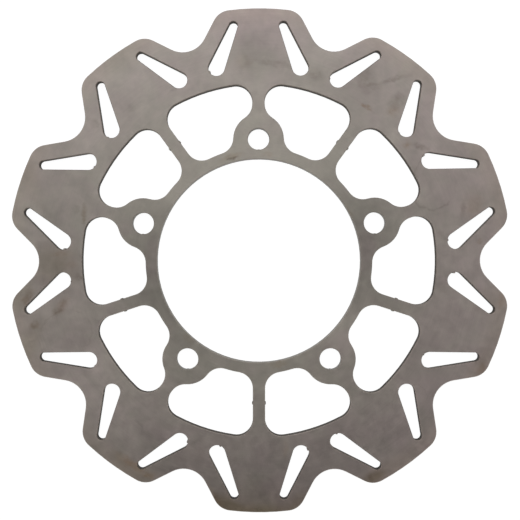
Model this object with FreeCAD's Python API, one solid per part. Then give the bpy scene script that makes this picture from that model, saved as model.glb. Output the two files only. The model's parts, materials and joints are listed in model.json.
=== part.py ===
import FreeCAD, Part
import os
from math import sin, cos, sqrt, radians

# One-piece motorcycle brake disc with a wavy rim, laser cut from flat stainless steel plate.
# Frame: the disc lies flat, +Z is the wheel's axis and z = 0 is the face that sits on the hub.
# The origin is the centre of the bore. One lobe and one bolt hole are centred on +Y.
# Millimetres and degrees throughout. Angles about the axis run clockwise from +Y.

# ---- Driving dimensions ---------------------------------------------------------------------

disc_diameter = 245.0         # over the crests of the lobes
plate_thickness = 5.0
edge_break = 0.25             # deburring chamfer on every edge of both faces

# Rim: equal lobes. Each has a round crest and two straight flanks, with round valleys between.
lobe_count = 10
flank_angle = 27.5            # between a flank and the centre line of its lobe
flank_distance = 73.0         # from the disc's axis, square to the line of the flank
crest_corner_radius = 9.2
valley_radius = 12.0

# Hub fitting: a bore that locates on the hub, and a circle of bolt holes through round bosses.
bore_diameter = 99.2
bolt_circle_diameter = 118.3
bolt_hole_diameter = 10.5
bolt_count = 5
boss_radius = 12.3

# Windows: a mirrored pair for each bolt. A boss spoke parts the two windows of a pair, and a
# plain spoke parts one pair from the next.
window_outer_radius = 86.2
window_inner_radius = 55.1
window_corner_radius = 8.0
spoke_width = 6.0

# Wiping slots: two to a lobe, mirrored, each one tapered between two round ends.
slot_tip_distance = 114.8     # centre of the narrow end, from the disc's axis
slot_tip_angle = 6.07         # and from the lobe's centre line
slot_tip_radius = 2.15
slot_root_distance = 96.05    # centre of the wide end
slot_root_angle = 12.28
slot_root_radius = 4.05

# Nibs: the small bumps left on a cut wall where the laser started and stopped. Lobes are
# counted clockwise, from 0 at +Y. A few slots have only a slight nib, and a few were cut clean.
nib_radius = 0.6
spoke_nib_height = 0.4        # how far a nib stands out of its wall
right_slot_nib_height = 0.5
left_slot_nib_height = 0.65
spoke_nib_distance = 69.5     # from the disc's axis, one on each side of a plain spoke
right_slot_nib_angle = 203.0  # round the slot's wide end, from the lobe's centre line
left_slot_nib_angle = 240.0
slight_right_slots = (1, 3, 7)
slight_left_slots = (1, 7, 9)
clean_right_slots = (0, 6, 9)
clean_left_slots = (4,)
hole_nib_radius = 1.9         # the nib in a bolt hole is broad and low, always on the -Y side
hole_nib_height = 0.2

lobe_pitch = 360.0 / lobe_count
bolt_pitch = 360.0 / bolt_count

Z_AXIS = FreeCAD.Vector(0, 0, 1)
ORIGIN = FreeCAD.Vector(0, 0, 0)


# ---- Flat geometry --------------------------------------------------------------------------

def polar(distance, angle):
    """Point at a distance from the axis, in a direction clockwise from +Y."""
    return FreeCAD.Vector(sin(radians(angle)), cos(radians(angle)), 0) * distance


def turned(shape, angle):
    """Copy of a shape turned clockwise about the disc's axis."""
    return shape.rotated(ORIGIN, Z_AXIS, -angle)


def mirrored(shape):
    """Copy of a shape reflected across the plane x = 0."""
    return shape.mirror(ORIGIN, FreeCAD.Vector(1, 0, 0))


def circle(centre, radius):
    return Part.Circle(centre, Z_AXIS, radius)


def line(angle, offset):
    """Line in the direction of an angle, passing the axis at an offset to its right."""
    foot = polar(offset, angle + 90)
    return Part.LineSegment(foot - polar(disc_diameter, angle), foot + polar(disc_diameter, angle))


def crossing(first, second, near):
    """The crossing of two curves that is nearest to a point."""
    points = [FreeCAD.Vector(p.X, p.Y, 0) for p in first.intersectCC(second)]
    return min(points, key=near.distanceToPoint)


def touch(curve, point):
    """Foot of the perpendicular from a point to a curve."""
    return curve.value(curve.parameter(point))


def arc(centre, radius, start, end):
    """The short arc about a centre from one point to another."""
    middle = centre + (start + end - centre * 2).normalize() * radius
    return Part.Arc(start, middle, end).toShape()


def stretch(curve, start, end):
    """The part of a line or circle between two of its points."""
    if isinstance(curve, Part.Circle):
        return arc(curve.Center, curve.Radius, start, end)
    return Part.LineSegment(start, end).toShape()


def rounded_outline(walls, corners):
    """Closed wire that runs along each wall in turn, with a round corner after each.

    A wall is a function that gives its line or circle moved into the outline by a distance.
    A corner is a radius, negative if it is hollow, and a point that its centre is nearest to.
    """
    following = walls[1:] + walls[:1]
    centres = [crossing(wall(radius), after(radius), near)
               for wall, after, (radius, near) in zip(walls, following, corners)]
    edges = []
    for i, (wall, after) in enumerate(zip(walls, following)):
        end = touch(wall(0), centres[i])
        edges.append(stretch(wall(0), touch(wall(0), centres[i - 1]), end))
        edges.append(arc(centres[i], abs(corners[i][0]), end, touch(after(0), centres[i])))
    return Part.Wire(edges)


# ---- Outlines -------------------------------------------------------------------------------

def rim_outline():
    """The wavy outer edge, from lobe to lobe."""
    tip_radius = disc_diameter / 2
    walls = []
    corners = []
    for i in range(lobe_count):
        middle = i * lobe_pitch
        after = middle + lobe_pitch
        walls.append(lambda inset: circle(ORIGIN, tip_radius - inset))
        walls.append(lambda inset, a=middle: line(a - flank_angle, flank_distance - inset))
        walls.append(lambda inset, a=after: line(a + flank_angle, inset - flank_distance))
        corners.append((crest_corner_radius, polar(tip_radius, middle)))
        corners.append((-valley_radius, polar(tip_radius, middle + lobe_pitch / 2)))
        corners.append((crest_corner_radius, polar(tip_radius, after)))
    return rounded_outline(walls, corners)


def window_outline():
    """The window just clockwise of the +Y bolt hole."""
    boss_centre = polar(bolt_circle_diameter / 2, 0)
    half_spoke = spoke_width / 2
    middle = polar((window_outer_radius + window_inner_radius) / 2, bolt_pitch / 4)
    walls = [
        lambda inset: circle(ORIGIN, window_outer_radius - inset),
        lambda inset: line(bolt_pitch / 2, -half_spoke - inset),
        lambda inset: circle(ORIGIN, window_inner_radius + inset),
        lambda inset: circle(boss_centre, boss_radius + inset),
        lambda inset: line(0, half_spoke + inset),
    ]
    return rounded_outline(walls, [(window_corner_radius, middle)] * len(walls))


slot_tip = polar(slot_tip_distance, slot_tip_angle)
slot_root = polar(slot_root_distance, slot_root_angle)


def slot_outline():
    """The slot on the clockwise side of the +Y lobe: two round ends and their tangents."""
    along = (slot_root - slot_tip).normalize()
    across = FreeCAD.Vector(-along.y, along.x, 0)
    lean = (slot_root_radius - slot_tip_radius) / slot_root.distanceToPoint(slot_tip)
    left, right = [across * (side * sqrt(1 - lean ** 2)) - along * lean for side in (1, -1)]
    tip_left, tip_right = slot_tip + left * slot_tip_radius, slot_tip + right * slot_tip_radius
    root_left, root_right = slot_root + left * slot_root_radius, slot_root + right * slot_root_radius
    return Part.Wire([
        Part.Arc(tip_left, slot_tip - along * slot_tip_radius, tip_right).toShape(),
        Part.LineSegment(tip_right, root_right).toShape(),
        Part.Arc(root_right, slot_root + along * slot_root_radius, root_left).toShape(),
        Part.LineSegment(root_left, tip_left).toShape(),
    ])


def hole_outlines():
    """The bore, the bolt holes, the windows and the slots."""
    outlines = [Part.Wire(circle(ORIGIN, bore_diameter / 2).toShape())]
    bolt_hole = Part.Wire(circle(polar(bolt_circle_diameter / 2, 0), bolt_hole_diameter / 2).toShape())
    window = window_outline()
    for i in range(bolt_count):
        for outline in (bolt_hole, window, mirrored(window)):
            outlines.append(turned(outline, i * bolt_pitch))
    slot = slot_outline()
    for i in range(lobe_count):
        for outline in (slot, mirrored(slot)):
            outlines.append(turned(outline, i * lobe_pitch))
    return outlines


# ---- Nibs -----------------------------------------------------------------------------------

def nib(wall_point, into_hole, radius, height):
    """Bump on a cut wall: an upright pin sunk in the plate, showing by its height."""
    centre = wall_point + into_hole * (height - radius)
    base = FreeCAD.Vector(centre.x, centre.y, edge_break)
    return Part.makeCylinder(radius, plate_thickness - 2 * edge_break, base, Z_AXIS)


def slot_nibs(root_centre, angle, height, slight_slots, clean_slots):
    """The nibs of all left-hand or right-hand slots. The wide end's centre is the +Y lobe's."""
    wall_point = root_centre + polar(slot_root_radius, angle)
    nibs = []
    for i in range(lobe_count):
        if i not in clean_slots:
            own_height = height / 2 if i in slight_slots else height
            bump = nib(wall_point, polar(-1, angle), nib_radius, own_height)
            nibs.append(turned(bump, i * lobe_pitch))
    return nibs


def all_nibs():
    left_slot_root = polar(slot_root_distance, -slot_root_angle)
    nibs = slot_nibs(slot_root, right_slot_nib_angle, right_slot_nib_height,
                     slight_right_slots, clean_right_slots)
    nibs += slot_nibs(left_slot_root, left_slot_nib_angle, left_slot_nib_height,
                      slight_left_slots, clean_left_slots)
    for i in range(bolt_count):
        for side in (-1, 1):
            wall_point = FreeCAD.Vector(side * spoke_width / 2, spoke_nib_distance, 0)
            bump = nib(wall_point, FreeCAD.Vector(side, 0, 0), nib_radius, spoke_nib_height)
            nibs.append(turned(bump, (i + 0.5) * bolt_pitch))
        lowest = polar(bolt_circle_diameter / 2, i * bolt_pitch) + polar(bolt_hole_diameter / 2, 180)
        nibs.append(nib(lowest, polar(1, 0), hole_nib_radius, hole_nib_height))
    return nibs


# ---- The disc -------------------------------------------------------------------------------

def brake_disc():
    profile = Part.makeFace([rim_outline()] + hole_outlines(), "Part::FaceMakerBullseye")
    plate = profile.extrude(FreeCAD.Vector(0, 0, plate_thickness))
    flat_faces = [face for face in plate.Faces if abs(face.normalAt(0, 0).z) > 0.99]
    edges = [edge for face in flat_faces for edge in face.Edges]
    plate = plate.makeChamfer(edge_break, edges)
    return plate.fuse(all_nibs()).Solids[0]


os.makedirs("parts", exist_ok=True)
disc = brake_disc()
disc.exportStep("parts/brake_disc.step")
print("solid valid", disc.isValid(), "volume mm3", round(disc.Volume), "faces", len(disc.Faces))
print("box mm", [round(size, 2) for size in (disc.BoundBox.XLength, disc.BoundBox.YLength,
                                            disc.BoundBox.ZLength)])
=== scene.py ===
import json
import math

import bpy
from mathutils import Matrix, Vector


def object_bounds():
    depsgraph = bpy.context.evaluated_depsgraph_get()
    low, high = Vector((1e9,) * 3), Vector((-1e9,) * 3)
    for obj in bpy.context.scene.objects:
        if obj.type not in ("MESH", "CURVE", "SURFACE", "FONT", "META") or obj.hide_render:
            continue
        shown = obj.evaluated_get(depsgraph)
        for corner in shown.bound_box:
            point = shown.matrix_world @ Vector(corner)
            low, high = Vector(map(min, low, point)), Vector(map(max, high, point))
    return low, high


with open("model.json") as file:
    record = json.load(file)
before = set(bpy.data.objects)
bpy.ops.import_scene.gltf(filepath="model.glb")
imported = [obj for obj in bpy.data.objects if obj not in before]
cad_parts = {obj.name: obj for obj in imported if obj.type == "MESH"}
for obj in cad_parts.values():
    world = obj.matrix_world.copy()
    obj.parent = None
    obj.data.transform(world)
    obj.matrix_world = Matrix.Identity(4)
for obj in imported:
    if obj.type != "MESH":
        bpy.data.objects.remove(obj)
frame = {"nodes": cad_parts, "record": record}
cad_low, cad_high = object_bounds()

# A one-piece motorcycle brake disc of ground stainless steel, lying on a white floor. Scene lengths
# are in metres. The steel's pattern is laid out in millimetres on the disc's face, and its clock
# angles run clockwise from +Y, in degrees.

# ---------------------------------------------------------------- sizes
MM = 0.001
TOP = cad_high.z
mounts = {mount["name"]: mount["dims"] for mount in frame["record"]["mounts"]}

# In millimetres, for the pattern.
THICKNESS = (cad_high.z - cad_low.z) / MM
BORE_RADIUS = mounts["hub_bore"]["r_mm"]
BOLT_COUNT = mounts["hub_bolts"]["count"]
BOLT_RADIUS = mounts["hub_bolts"]["hole_r_mm"]
BOLT_CIRCLE_RADIUS = mounts["hub_bolts"]["pcd_mm"] / 2
HOLE_MARGIN = 0.6             # how far past a drilled wall still counts as that hole

# ---------------------------------------------------------------- colours
OLIVE_STEEL = (0.494, 0.458, 0.402)
PURPLE_STEEL = (0.510, 0.442, 0.414)
CUT_STEEL = (0.100, 0.088, 0.076)
DRILLED_STEEL = (0.17, 0.16, 0.146)

# What a mark multiplies the steel's colour by where it is strongest.
CREST_TINT = (1.05, 0.99, 0.89)
FILM_TINT = (0.72, 0.69, 0.58)
RUST_TINT = (0.80, 0.71, 0.62)
TIDE_TINT = (0.60, 0.56, 0.54)
GRIME_TINT = (0.50, 0.46, 0.44)
# Painted shade: the edge breaks are darkened so they show no highlight.
EDGE_BREAK_SHADE = 0.6         # brightness of the broken edges beside the faces

# ---------------------------------------------------------------- noise patterns
# Scale is in features to a millimetre.
CLOUDS = {"scale": 0.055, "detail": 3.0, "roughness": 0.55, "distortion": 0.4}
MOTTLE = {"scale": 0.22, "detail": 2.0, "roughness": 0.55, "distortion": 0.5}
HUE_DRIFT = {"scale": 0.07, "detail": 2.0, "roughness": 0.5, "distortion": 0.8}
PATCHES = {"scale": 0.34, "detail": 2.0, "roughness": 0.55}
GAPS = {"scale": 0.13, "detail": 2.0}
RAGGED_EDGE = {"scale": 0.28, "detail": 3.0}

# These run in one direction, so the place is stretched first, by features to a millimetre.
GROUND_LINES = {"scale": 1.0, "detail": 3.0, "roughness": 0.7}
LINES_ACROSS = 2.6
LINES_ROUND = 7.0             # radius of the circle that one turn follows through the noise
DRAG_LINES = {"scale": 1.0, "detail": 3.0, "roughness": 0.6}
DRAG_STRETCH = (3.2, 3.2, 0.22)
TOOL_RINGS = {"scale": 1.0, "detail": 2.0, "roughness": 0.6}
RING_STRETCH = (0.15, 0.15, 6.0)

# How much the steel's brightness changes with a pattern.
MOTTLE_CONTRAST = 0.25
LINE_CONTRAST = 0.19
HUB_CLOUD_CONTRAST = 0.26
BAND_CLOUD_CONTRAST = 0.46

# ---------------------------------------------------------------- marks on the steel
# Each mark is an ellipse on the face: clock angle, radius, length, width, turn of the length from
# the X axis in degrees, and strength.
GRIME = [
    (30, 103, 15, 12, 60, 0.30),
    (33, 100, 18, 10, 10, 0.22),
    (36, 108, 34, 3, 14, 0.22),
    (37, 111, 16, 4, 30, 0.15),
    (41, 102, 12, 10, 20, 0.34),
    (17, 94, 12, 8, -15, 0.34),
    (5, 96, 28, 5, -10, 0.26),
    (55, 96, 12, 5, -15, 0.50),
    (76, 102, 4, 11, -8, 0.38),
    (84, 95, 16, 3, -5, 0.22),
    (82, 89, 5, 6, 0, 0.22),
    (310, 104, 6, 6, 0, 0.28),
    (320, 97, 6, 6, 0, 0.16),
    (285, 88, 4, 14, 0, 0.22),
    (286, 92, 5, 5, 0, 0.25),
    (284, 109, 20, 6, -45, 0.18),
    (265, 88, 6, 5, 0, 0.50),
    (258, 97, 8, 6, 60, 0.26),
    (256, 101, 6, 9, -35, 0.36),
    (261, 114, 6, 14, -15, 0.28),
    (254, 114, 6, 6, 0, 0.24),
    (345, 51, 9, 2.6, 22, 0.80),
    (190, 118, 12, 7, -50, 0.35),
    (171, 119, 12, 7, 15, 0.25),
    (153, 119, 5, 6, 20, 0.48),
    (187, 98, 6, 5, 30, 0.26),
    (182, 108, 4, 22, 35, 0.22),
    (197, 97, 5, 14, 0, 0.20),
    (200, 101, 30, 16, -20, 0.14),
    (98, 90, 9, 9, 0, 0.20),
]
RUST = [
    (42, 97, 10, 7, 20, 0.55),
    (35, 91, 9, 3.5, -28, 0.80),
    (52, 91, 7, 6, 0, 0.60),
    (76, 108, 16, 10, 70, 0.35),
    (85, 107, 5, 4, 40, 0.50),
    (269, 96, 18, 8, 0, 0.12),
    (269, 91, 6, 5, 0, 0.24),
    (272, 96, 14, 5, 5, 0.35),
    (285, 88, 4, 14, 0, 0.50),
    (261, 114, 7, 16, -20, 0.50),
    (254, 114, 8, 6, 0, 0.45),
    (257, 99, 16, 8, 55, 0.55),
    (212, 117, 28, 6, -35, 0.75),
    (207, 117, 9, 5, 20, 0.60),
    (191, 117, 16, 8, -50, 0.40),
    (222, 51, 9, 6, -45, 0.40),
    (169, 51, 13, 5, 8, 0.50),
    (345, 52, 16, 5, 22, 0.50),
    (5, 52, 8, 3, 0, 0.40),
    (116, 120, 9, 6, 60, 0.70),
    (99, 119, 5, 14, -8, 0.45),
    (62, 50, 3, 10, 30, 0.40),
    (356, 97, 12, 12, 0, 0.25),
    (172, 93, 4, 14, 0, 0.35),
]
# Smooth brown film, mostly on the crests of the lobes.
FILM = [
    (181, 124, 66, 16, 0, 0.85),
    (181, 117, 70, 34, 0, 0.22),
    (188, 121, 26, 16, -25, 0.80),
    (170, 119, 20, 12, 40, 0.40),
    (212, 119, 34, 12, -35, 0.35),
    (269, 100, 36, 32, 0, 0.46),
    (250, 119, 40, 12, 62, 0.25),
    (262, 117, 24, 12, 75, 0.20),
    (290, 118, 40, 12, -70, 0.16),
    (75, 107, 24, 16, 70, 0.20),
    (116, 118, 26, 10, 60, 0.25),
    (100, 112, 24, 20, -8, 0.18),
    (148, 119, 34, 12, 30, 0.20),
    (152, 119, 16, 9, 25, 0.75),
]
# Where the steel looks pinker than olive.
BLUSH = [
    (0, 117, 84, 40, 0, 0.50),
    (84, 53, 16, 40, 5, 0.65),
    (136, 56, 28, 20, 40, 0.65),
    (271, 52, 12, 34, 0, 0.65),
    (285, 64, 20, 12, 0, 0.40),
]
# Broad patches where the steel is a little darker, or lighter where the strength is negative.
TONE_PATCHES = [
    (0, 104, 60, 40, 0, 0.10),
    (30, 99, 60, 40, 0, 0.14),
    (45, 100, 30, 30, 0, 0.06),
    (160, 108, 60, 50, 0, 0.12),
    (182, 108, 80, 50, 0, 0.15),
    (205, 112, 40, 40, 0, 0.12),
    (230, 96, 60, 60, 0, -0.16),
    (272, 104, 60, 60, 0, 0.07),
    (286, 98, 40, 40, 0, 0.05),
    (127, 56, 46, 30, 0, -0.18),
    (225, 72, 30, 50, 0, -0.10),
    (310, 56, 40, 24, 0, -0.10),
]
# Dried drops, which leave a thin dark line round their edge.
DRIED = [
    (66, 93, 21, 27, -10, 0.36),
    (249, 101, 27, 23, 30, 0.20),
    (334, 88, 12, 9, 0, 0.22),
    (133, 100, 18, 14, 40, 0.20),
]

# ---------------------------------------------------------------- light and camera
TENT_TINT = (1.025, 1.0, 0.96, 1.0)
TENT_TOP = 0.115              # brightness overhead
TENT_SIDE = 1.1               # and at the sides
SOFT_BOX_TINT = (0.99, 1.0, 1.02)
# Name, place, width, depth, and how bright the box looks.
SOFT_BOXES = [
    ("key", (0.0, 0.90, 1.10), 1.6, 0.8, 0.97),
    ("overhead", (0.0, 0.45, 1.35), 1.6, 0.6, 0.53),
    ("right", (0.90, 0.0, 1.10), 1.6, 0.8, 0.37),
    ("left", (-0.90, 0.0, 1.10), 1.6, 0.8, 0.51),
]

FLOOR_HALF = 4.0
FLOOR_COLOUR = (0.15, 0.15, 0.15, 1.0)
FLOOR_GLOW = 0.97

# The camera leans a little from straight above. It also stands off to -X without turning, and its
# shift brings the disc back to the middle. All in millimetres, but for the aim and the roll.
CAMERA_AIM = Vector((0.62 * MM, 0.37 * MM, TOP))
CAMERA_DISTANCE = 450.0
CAMERA_LEAN = (6.6, 2.9)      # how far it is to +X and +Y of the aim at that distance
CAMERA_SLIDE = 8.0
CAMERA_ROLL = -0.1            # in degrees
CAMERA_SENSOR = 36.0
CAMERA_LENS = 64.1


# ---------------------------------------------------------------- node helpers
class Graph:
    """A short way to write shader nodes: every call adds one node and returns an output socket."""

    def __init__(self, tree):
        self.tree = tree
        self.tree.nodes.clear()

    def add(self, kind, **settings):
        """Adds a node of a kind and returns the node itself."""
        node = self.tree.nodes.new(kind)
        for name, value in settings.items():
            setattr(node, name, value)
        return node

    def feed(self, socket, value):
        """Links a socket, or sets it to a plain number, vector or colour."""
        if isinstance(value, bpy.types.NodeSocket):
            self.tree.links.new(value, socket)
        elif value is not None:
            socket.default_value = value

    def math(self, operation, a, b=None, c=None, clamp=False):
        node = self.add("ShaderNodeMath", operation=operation, use_clamp=clamp)
        for socket, value in zip(node.inputs, (a, b, c)):
            self.feed(socket, value)
        return node.outputs[0]

    def vector(self, operation, a, b=None, scale=None):
        node = self.add("ShaderNodeVectorMath", operation=operation)
        self.feed(node.inputs[0], a)
        self.feed(node.inputs[1], b)
        if operation == "SCALE":
            self.feed(node.inputs["Scale"], scale)
        if operation in ("LENGTH", "DOT_PRODUCT"):
            return node.outputs["Value"]
        return node.outputs["Vector"]

    def combine(self, x, y, z):
        node = self.add("ShaderNodeCombineXYZ")
        for socket, value in zip(node.inputs, (x, y, z)):
            self.feed(socket, value)
        return node.outputs[0]

    def split(self, vector):
        node = self.add("ShaderNodeSeparateXYZ")
        self.feed(node.inputs[0], vector)
        return node.outputs

    def noise_node(self, vector, scale, detail, roughness, distortion):
        node = self.add("ShaderNodeTexNoise", noise_dimensions="3D", normalize=True)
        self.feed(node.inputs["Vector"], vector)
        node.inputs["Scale"].default_value = scale
        node.inputs["Detail"].default_value = detail
        node.inputs["Roughness"].default_value = roughness
        node.inputs["Distortion"].default_value = distortion
        return node

    def noise(self, vector, scale, detail, roughness=0.5, distortion=0.0):
        """Smooth noise from 0 to 1, about 0.5."""
        return self.noise_node(vector, scale, detail, roughness, distortion).outputs[0]

    def noise_vector(self, vector, scale, detail, roughness=0.5, distortion=0.0):
        """Three independent noises about 0, for pushing another pattern's coordinates about."""
        node = self.noise_node(vector, scale, detail, roughness, distortion)
        return self.vector("SUBTRACT", node.outputs["Color"], (0.5, 0.5, 0.5))

    def ramp(self, value, start, to=(0.0, 1.0), smooth=True):
        """Maps one range of numbers to another, clamped, with soft ends where smooth."""
        kind = "SMOOTHSTEP" if smooth else "LINEAR"
        node = self.add("ShaderNodeMapRange", interpolation_type=kind)
        self.feed(node.inputs["Value"], value)
        node.inputs["From Min"].default_value = start[0]
        node.inputs["From Max"].default_value = start[1]
        node.inputs["To Min"].default_value = to[0]
        node.inputs["To Max"].default_value = to[1]
        return node.outputs["Result"]

    def mix(self, factor, a, b):
        """Colour a where factor is 0, and b where it is 1."""
        node = self.add("ShaderNodeMix", data_type="RGBA")
        self.feed(node.inputs["Factor"], factor)
        self.feed(node.inputs[6], a)
        self.feed(node.inputs[7], b)
        return node.outputs[2]

    def mix_vector(self, factor, a, b):
        node = self.add("ShaderNodeMix", data_type="VECTOR")
        self.feed(node.inputs["Factor"], factor)
        self.feed(node.inputs[4], a)
        self.feed(node.inputs[5], b)
        return node.outputs[1]

    def mix_number(self, factor, a, b):
        node = self.add("ShaderNodeMix", data_type="FLOAT")
        self.feed(node.inputs["Factor"], factor)
        self.feed(node.inputs[2], a)
        self.feed(node.inputs[3], b)
        return node.outputs[0]

    def scaled(self, tone, factor):
        """A colour made lighter or darker, or a vector made longer or shorter."""
        return self.vector("SCALE", tone, scale=factor)

    def varied(self, tone, noise, contrast):
        """A colour made lighter and darker by noise from 0 to 1."""
        factor = self.math("MULTIPLY_ADD", noise, contrast, 1.0 - contrast / 2)
        return self.scaled(tone, factor)

    def tinted(self, tone, amount, tint):
        """A colour multiplied by a tint, as strongly as the amount from 0 to 1 says."""
        return self.mix(amount, tone, self.vector("MULTIPLY", tone, tint))

    def bump(self, height, distance, normal=None):
        """Height from 0 to 1 raises the surface by distance, in metres."""
        node = self.add("ShaderNodeBump")
        node.inputs["Distance"].default_value = distance
        node.inputs["Strength"].default_value = 1.0
        self.feed(node.inputs["Height"], height)
        self.feed(node.inputs["Normal"], normal)
        return node.outputs[0]


# ---------------------------------------------------------------- shapes on the face
def on_disc(angle, radius):
    """A point on the face, in mm, from a clock angle in degrees and a radius."""
    turn = math.radians(angle)
    return (radius * math.sin(turn), radius * math.cos(turn), 0.0)


def ellipse(g, plane, angle, radius, length, width, turn):
    """1 at the middle of an ellipse on the face, falling to 0 at its edge."""
    place = g.add("ShaderNodeMapping", vector_type="TEXTURE")
    g.feed(place.inputs["Vector"], plane)
    place.inputs["Location"].default_value = on_disc(angle, radius)
    place.inputs["Rotation"].default_value = (0.0, 0.0, math.radians(turn))
    place.inputs["Scale"].default_value = (length / 2, width / 2, 1.0)
    fall = g.add("ShaderNodeTexGradient", gradient_type="SPHERICAL")
    g.feed(fall.inputs[0], place.outputs[0])
    return fall.outputs["Fac"]


def marks(g, plane, spots):
    """How strongly a set of marks covers the face, added up where they overlap."""
    edge_to_flat_top = (0.0, 0.8)
    total = 0.0
    for angle, radius, length, width, turn, strength in spots:
        spot = g.ramp(ellipse(g, plane, angle, radius, length, width, turn), edge_to_flat_top)
        total = g.math("MULTIPLY_ADD", spot, strength, total)
    return total


def tide_lines(g, plane):
    """The thin edges of dried drops.

    The ellipse is larger than the drop, so that it has risen a little where the drop's edge is.
    There a steep rise from 0 to 1 is folded at its middle, which leaves a thin line.
    """
    room = 1.3
    drop_edge = (0.18, 0.28)
    total = 0.0
    for angle, radius, length, width, turn, strength in DRIED:
        inside = ellipse(g, plane, angle, radius, length * room, width * room, turn)
        line = g.math("PINGPONG", g.ramp(inside, drop_edge, smooth=False), 0.5)
        total = g.math("MULTIPLY_ADD", line, 2 * strength, total)
    return total


def machined_holes(g, at):
    """1 in the bore and the bolt holes, whose walls are turned and drilled, and 0 elsewhere."""
    holes = g.math("LESS_THAN", at.radius, BORE_RADIUS + HOLE_MARGIN)
    size = 2 * (BOLT_RADIUS + HOLE_MARGIN)
    for index in range(BOLT_COUNT):
        angle = index * 360.0 / BOLT_COUNT
        inside = ellipse(g, at.plane, angle, BOLT_CIRCLE_RADIUS, size, size, 0.0)
        holes = g.math("MAXIMUM", holes, g.math("GREATER_THAN", inside, 0.0))
    return holes


# ---------------------------------------------------------------- the ground steel
class Surface:
    """Where the shaded point is on the disc, in millimetres, and which way it faces."""

    def __init__(self, g):
        where = g.add("ShaderNodeTexCoord")
        self.normal = where.outputs["Normal"]
        self.point = g.vector("SCALE", where.outputs["Object"], scale=1.0 / MM)
        self.x, self.y, self.z = g.split(self.point)
        self.plane = g.combine(self.x, self.y, 0.0)
        self.radius = g.vector("LENGTH", self.plane)
        self.outward = g.vector("NORMALIZE", self.plane)

        # The normal's height is 0 on the walls, 0.7 on the edge breaks and 1 on the faces.
        wall_to_break, break_to_face = (0.35, 0.65), (0.80, 0.97)
        upright = g.math("ABSOLUTE", g.split(self.normal)[2])
        self.wall = g.ramp(upright, wall_to_break, (1.0, 0.0))
        self.edge = g.ramp(upright, break_to_face, (1.0, 0.0))

        # Clouds, rust, grime and dried drops are looked up at `face`. On the far side that place is
        # mirrored and squeezed, so the two sides carry different ones.
        mirror_and_squeeze = (-0.8, 0.6, 0.0)
        far_side = g.math("LESS_THAN", self.z, THICKNESS / 2)
        elsewhere = g.vector("MULTIPLY", self.plane, mirror_and_squeeze)
        self.face = g.mix_vector(far_side, self.plane, elsewhere)


def steel_hue(g, at):
    """From olive at the hub to a faint purple tint on the braking band, with a slow drift."""
    drift_strength = 1.6
    towards_right, towards_top = 0.0015, -0.0013
    apart_from_clouds = (40.0, -70.0, 9.0)
    drift = g.noise(g.vector("ADD", at.face, apart_from_clouds), **HUE_DRIFT)
    purple = g.ramp(at.radius, (48.0, 102.0), (-0.80, -0.03))
    purple = g.math("MULTIPLY_ADD", drift, drift_strength, purple)
    purple = g.math("MULTIPLY_ADD", at.x, towards_right, purple)
    purple = g.math("MULTIPLY_ADD", at.y, towards_top, purple)
    purple = g.math("ADD", purple, marks(g, at.plane, BLUSH))
    purple = g.math("MAXIMUM", purple, 0.0)
    tone = g.scaled(g.vector("SUBTRACT", PURPLE_STEEL, OLIVE_STEEL), purple)
    return g.vector("ADD", tone, OLIVE_STEEL)


def cloudy(g, at, tone, mottle):
    """Broad clouds, stronger on the band than at the hub, and small mottling."""
    hub_to_band = (54.0, 90.0)
    contrast = g.ramp(at.radius, hub_to_band, (HUB_CLOUD_CONTRAST, BAND_CLOUD_CONTRAST))
    clouds = g.noise(at.face, **CLOUDS)
    light = g.math("MULTIPLY_ADD", g.math("SUBTRACT", clouds, 0.5), contrast, 1.0)
    return g.varied(g.scaled(tone, light), mottle, MOTTLE_CONTRAST)


def hub_painted_shade(g, at, tone):
    """Painted shade and highlight on the hub ring: darker at its two sides, lighter at its top and
    foot.
    """
    hub_to_band = (52.0, 84.0)
    shaded_side_angle = 79.0
    side_shade, top_highlight = -0.27, 0.05
    side = g.vector("DOT_PRODUCT", at.outward, on_disc(shaded_side_angle, 1.0))
    sideways = g.math("POWER", g.math("ABSOLUTE", side), 4.0)
    change = g.math("MULTIPLY_ADD", sideways, side_shade, top_highlight)
    hub = g.ramp(at.radius, hub_to_band, (1.0, 0.0))
    return g.scaled(tone, g.math("MULTIPLY_ADD", change, hub, 1.0))


def warm_crests(g, at, tone):
    """A slightly warmer tone towards the crests of the lobes."""
    valley_to_crest = (110.0, 122.0)
    strength = 0.3
    return g.tinted(tone, g.ramp(at.radius, valley_to_crest, (0.0, strength)), CREST_TINT)


def ground_lines(g, at):
    """Noise drawn out into fine lines that run round the disc."""
    place = g.vector("ADD", g.scaled(at.outward, LINES_ROUND), g.combine(0.0, 0.0, at.radius))
    place = g.vector("MULTIPLY", place, (1.0, 1.0, LINES_ACROSS))
    return g.noise(place, **GROUND_LINES)


def stained(g, at, tone):
    """Film, rust-brown stains, the edges of dried drops and grime. Also returns how dirty it is."""
    raggedness = 4.0
    rust_dirt = 0.6
    pushed = g.scaled(g.noise_vector(at.face, **RAGGED_EDGE), raggedness)
    pushed = g.vector("MULTIPLY", g.vector("ADD", at.face, pushed), (1.0, 1.0, 0.0))
    patchy = g.ramp(g.noise(at.face, **PATCHES), (0.30, 0.66), (0.55, 1.15))
    broken = g.ramp(g.noise(at.face, **GAPS), (0.42, 0.60), (0.15, 1.15))

    film = g.math("MINIMUM", marks(g, at.plane, FILM), 1.0)
    rust = g.math("MULTIPLY", marks(g, pushed, RUST), patchy, clamp=True)
    tide = g.math("MULTIPLY", tide_lines(g, pushed), broken, clamp=True)
    grime = g.math("MULTIPLY", marks(g, pushed, GRIME), patchy, clamp=True)
    tone = g.tinted(tone, film, FILM_TINT)
    tone = g.tinted(tone, rust, RUST_TINT)
    tone = g.tinted(tone, tide, TIDE_TINT)
    tone = g.tinted(tone, grime, GRIME_TINT)
    dirt = g.math("MAXIMUM", grime, g.math("MAXIMUM", g.math("MULTIPLY", rust, rust_dirt), tide))
    return tone, dirt


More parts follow.
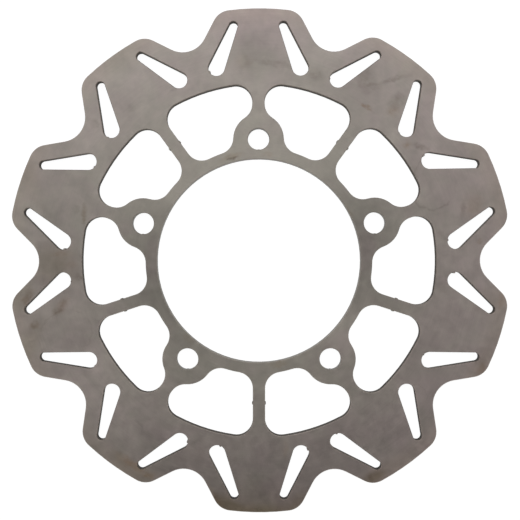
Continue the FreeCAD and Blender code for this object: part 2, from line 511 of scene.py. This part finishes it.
def brightened_slot_walls(g, at):
    """1 on slot walls that face anticlockwise, whose cut is made lighter, less so near the rim."""
    window_to_slot, slot_to_rim = (88.0, 94.0), (98.0, 115.0)
    clockwise = g.vector("CROSS_PRODUCT", at.outward, (0.0, 0.0, 1.0))
    away = g.vector("DOT_PRODUCT", at.normal, clockwise)
    brightened = g.ramp(away, (-0.95, -0.55), (1.0, 0.0))
    brightened = g.math("MULTIPLY", brightened, g.ramp(at.radius, window_to_slot))
    return g.math("MULTIPLY", brightened, g.ramp(at.radius, slot_to_rim, (1.0, 0.2)))


def wall_tone(g, at, drag, machined):
    """Dark with lines down the cut where a laser cut the wall, and grey with rings where turned."""
    noise_range = (0.3, 0.7)
    foot_to_top = (0.0, THICKNESS)
    # Painted shade: the cut walls are darker towards the foot, down in the holes.
    foot_shade = g.ramp(at.z, foot_to_top, (0.55, 1.1), smooth=False)
    light = g.math("MULTIPLY", g.ramp(drag, noise_range, (0.6, 1.35)), foot_shade)
    # Slot walls facing anticlockwise are made up to twice as light.
    light = g.math("MULTIPLY", light, g.math("ADD", brightened_slot_walls(g, at), 1.0))
    rings = g.noise(g.vector("MULTIPLY", at.point, RING_STRETCH), **TOOL_RINGS)
    drilled = g.scaled(DRILLED_STEEL, g.ramp(rings, noise_range, (0.85, 1.1)))
    return g.mix(machined, g.scaled(CUT_STEEL, light), drilled)


def steel_roughness(g, at, mottle, lines, dirt, machined):
    """Satin on the faces, rougher where dirty, and rough on the walls."""
    satin = 0.36
    drilled_wall, cut_wall = 0.5, 0.75
    rough = g.math("MULTIPLY_ADD", mottle, 0.10, satin)
    rough = g.math("MULTIPLY_ADD", lines, 0.06, rough)
    rough = g.math("MULTIPLY_ADD", dirt, 0.14, rough)
    return g.mix_number(at.wall, rough, g.mix_number(machined, cut_wall, drilled_wall))


def steel_relief(g, at, lines, drag, machined):
    """Fine ground lines all over, and deeper lines down the laser-cut walls."""
    grind_depth, drag_depth = 0.006 * MM, 0.12 * MM
    relief = g.bump(lines, grind_depth)
    torn = g.math("MULTIPLY", at.wall, g.math("SUBTRACT", 1.0, machined))
    return g.bump(g.math("MULTIPLY", drag, torn), drag_depth, normal=relief)


def ground_steel():
    material = bpy.data.materials.new("ground_steel")
    material.use_nodes = True
    g = Graph(material.node_tree)
    out = g.add("ShaderNodeOutputMaterial")
    shader = g.add("ShaderNodeBsdfPrincipled")
    g.feed(out.inputs["Surface"], shader.outputs[0])

    at = Surface(g)
    mottle = g.noise(at.face, **MOTTLE)
    lines = ground_lines(g, at)
    drag = g.noise(g.vector("MULTIPLY", at.point, DRAG_STRETCH), **DRAG_LINES)
    machined = machined_holes(g, at)

    tone = cloudy(g, at, steel_hue(g, at), mottle)
    # Painted shade and highlight: the hub ring is darker at its sides and lighter at its top and
    # foot.
    tone = hub_painted_shade(g, at, tone)
    # Broad patches of slightly darker steel, or lighter where their strength is negative.
    tone = g.scaled(tone, g.math("SUBTRACT", 1.0, marks(g, at.plane, TONE_PATCHES)))
    tone = warm_crests(g, at, tone)
    tone = g.varied(tone, lines, LINE_CONTRAST)
    tone, dirt = stained(g, at, tone)
    # Painted shade on the edge breaks, which keeps them from catching light.
    tone = g.mix(at.edge, tone, g.scaled(tone, EDGE_BREAK_SHADE))
    tone = g.mix(at.wall, tone, wall_tone(g, at, drag, machined))

    g.feed(shader.inputs["Base Color"], tone)
    g.feed(shader.inputs["Roughness"], steel_roughness(g, at, mottle, lines, dirt, machined))
    g.feed(shader.inputs["Normal"], steel_relief(g, at, lines, drag, machined))
    shader.inputs["Metallic"].default_value = 1.0

    # The grind stretches highlights across its lines, a quarter turn from the way they run.
    quarter_turn = 0.25
    shader.inputs["Anisotropic"].default_value = 0.5
    shader.inputs["Anisotropic Rotation"].default_value = quarter_turn
    tangent = g.add("ShaderNodeTangent", direction_type="RADIAL", axis="Z")
    g.feed(shader.inputs["Tangent"], tangent.outputs[0])
    return material


# ---------------------------------------------------------------- floor
def white_floor():
    mesh = bpy.data.meshes.new("floor")
    corners = [(-FLOOR_HALF, -FLOOR_HALF, 0), (FLOOR_HALF, -FLOOR_HALF, 0),
               (FLOOR_HALF, FLOOR_HALF, 0), (-FLOOR_HALF, FLOOR_HALF, 0)]
    mesh.from_pydata(corners, [], [(0, 1, 2, 3)])
    floor = bpy.data.objects.new("floor", mesh)
    bpy.context.scene.collection.objects.link(floor)
    material = bpy.data.materials.new("white_floor")
    material.use_nodes = True
    shader = material.node_tree.nodes["Principled BSDF"]
    shader.inputs["Base Color"].default_value = FLOOR_COLOUR
    shader.inputs["Roughness"].default_value = 0.9
    shader.inputs["Specular IOR Level"].default_value = 0.0
    shader.inputs["Emission Color"].default_value = (1.0, 1.0, 1.0, 1.0)
    shader.inputs["Emission Strength"].default_value = FLOOR_GLOW
    mesh.materials.append(material)


# ---------------------------------------------------------------- light
def soft_sky():
    """A studio tent: white at the sides and dimmer overhead."""
    side_to_top = (0.20, 0.75)
    world = bpy.data.worlds.new("tent")
    world.use_nodes = True
    g = Graph(world.node_tree)
    out = g.add("ShaderNodeOutputWorld")
    background = g.add("ShaderNodeBackground")
    g.feed(out.inputs["Surface"], background.outputs[0])
    height = g.split(g.add("ShaderNodeTexCoord").outputs["Generated"])[2]
    level = g.ramp(height, side_to_top, (TENT_SIDE, TENT_TOP))
    g.feed(background.inputs["Strength"], level)
    background.inputs["Color"].default_value = TENT_TINT
    bpy.context.scene.world = world


def soft_box(name, place, width, foot_shade, radiance):
    """A rectangular light aimed at the middle of the disc. Radiance is how bright it looks."""
    data = bpy.data.lights.new(name, "AREA")
    data.shape = "RECTANGLE"
    data.size, data.size_y = width, foot_shade
    data.energy = radiance * math.pi * width * foot_shade
    data.color = SOFT_BOX_TINT
    light = bpy.data.objects.new(name, data)
    light.location = place
    light.rotation_mode = "QUATERNION"
    light.rotation_quaternion = (Vector((0, 0, TOP)) - Vector(place)).to_track_quat("-Z", "Y")
    bpy.context.scene.collection.objects.link(light)


# ---------------------------------------------------------------- camera
def add_camera():
    """Looks down on the disc, leaning a little, with +Y at the top of the picture."""
    data = bpy.data.cameras.new("camera")
    data.sensor_width = CAMERA_SENSOR
    data.lens = CAMERA_LENS
    data.clip_start, data.clip_end = 0.01, 50.0
    data.shift_x = CAMERA_SLIDE / CAMERA_DISTANCE * data.lens / data.sensor_width
    camera = bpy.data.objects.new("camera", data)
    backward = Vector((*CAMERA_LEAN, CAMERA_DISTANCE)).normalized()
    right = Vector((0, 1, 0)).cross(backward).normalized()
    up = backward.cross(right)
    roll = Matrix.Rotation(math.radians(CAMERA_ROLL), 3, "Z")
    turn = Matrix((right, up, backward)).transposed() @ roll
    eye = CAMERA_AIM + backward * CAMERA_DISTANCE * MM - Vector((CAMERA_SLIDE * MM, 0.0, 0.0))
    camera.matrix_world = Matrix.Translation(eye) @ turn.to_4x4()
    bpy.context.scene.collection.objects.link(camera)
    bpy.context.scene.camera = camera


# ---------------------------------------------------------------- the scene
steel = ground_steel()
for held in frame["nodes"]["brake_disc"].material_slots:
    held.material = steel
white_floor()
soft_sky()
for box in SOFT_BOXES:
    soft_box(*box)
add_camera()
bpy.context.scene.view_settings.view_transform = "Standard"
